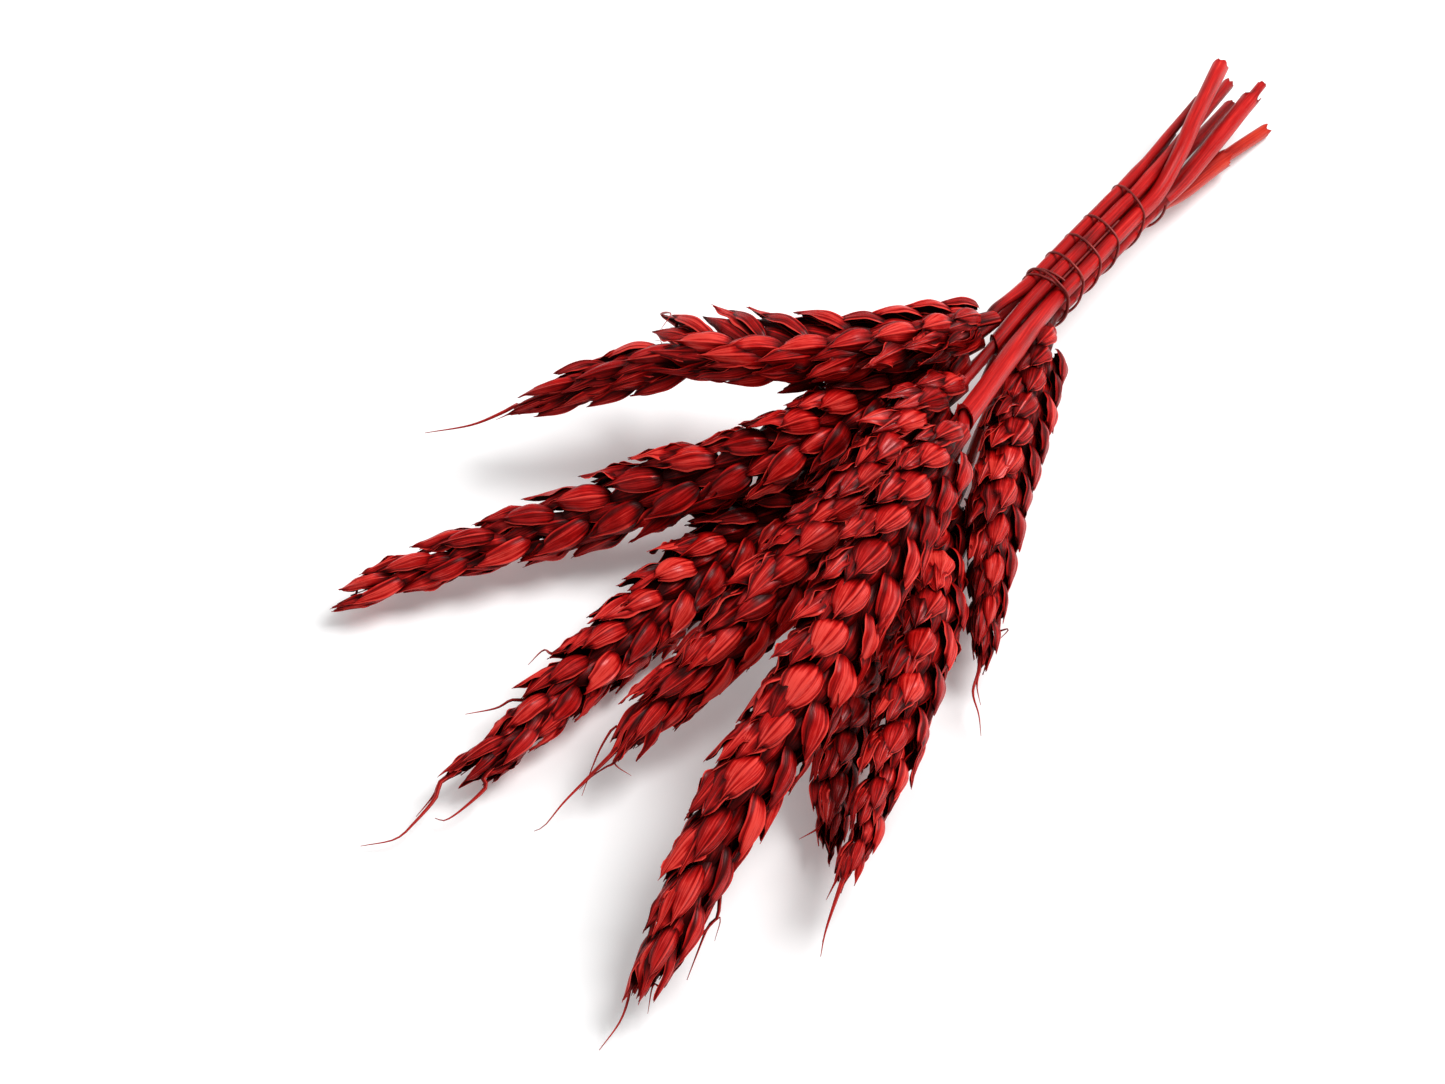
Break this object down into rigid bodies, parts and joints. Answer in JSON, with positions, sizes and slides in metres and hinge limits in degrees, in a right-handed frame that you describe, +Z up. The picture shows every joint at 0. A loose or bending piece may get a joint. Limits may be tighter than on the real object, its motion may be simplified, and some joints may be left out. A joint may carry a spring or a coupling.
{
  "type": "tied bundle of dried wheat",
  "caption": "Dried red-dyed wheat stalks with full ears, tied near their cut ends with thin wire and lying down in a fan.",
  "frame": {"origin": "middle of the bundle's footprint, on the surface it lies on", "axes": "+Z up, +Y along the bundle from the ears towards the cut ends of the stalks"},
  "size_m": [0.098, 0.2202, 0.0324],
  "materials": {
    "dyed_husk": "dry husk, dyed deep red, satin on its ridges",
    "dyed_straw": "dry straw, dyed bright red, satin with fine lengthwise fibres",
    "wire": "thin wire, dark red-brown, slightly glossy"
  },
  "bodies": {
    "root": {"binding_wire": "wire", "culm_1": "dyed_straw", "culm_2": "dyed_straw", "culm_3": "dyed_straw", "culm_4": "dyed_straw", "culm_5": "dyed_straw", "culm_6": "dyed_straw", "culm_7": "dyed_straw", "culm_8": "dyed_straw", "ear_1": "dyed_husk", "ear_2": "dyed_husk", "ear_3": "dyed_husk", "ear_4": "dyed_husk", "ear_5": "dyed_husk", "ear_6": "dyed_husk", "ear_7": "dyed_husk", "ear_8": "dyed_husk", "leaf_sheath_6": "dyed_straw", "leaf_sheath_8": "dyed_straw", "peduncle_4": "dyed_straw", "peduncle_5": "dyed_straw"}
  },
  "joints": []
}
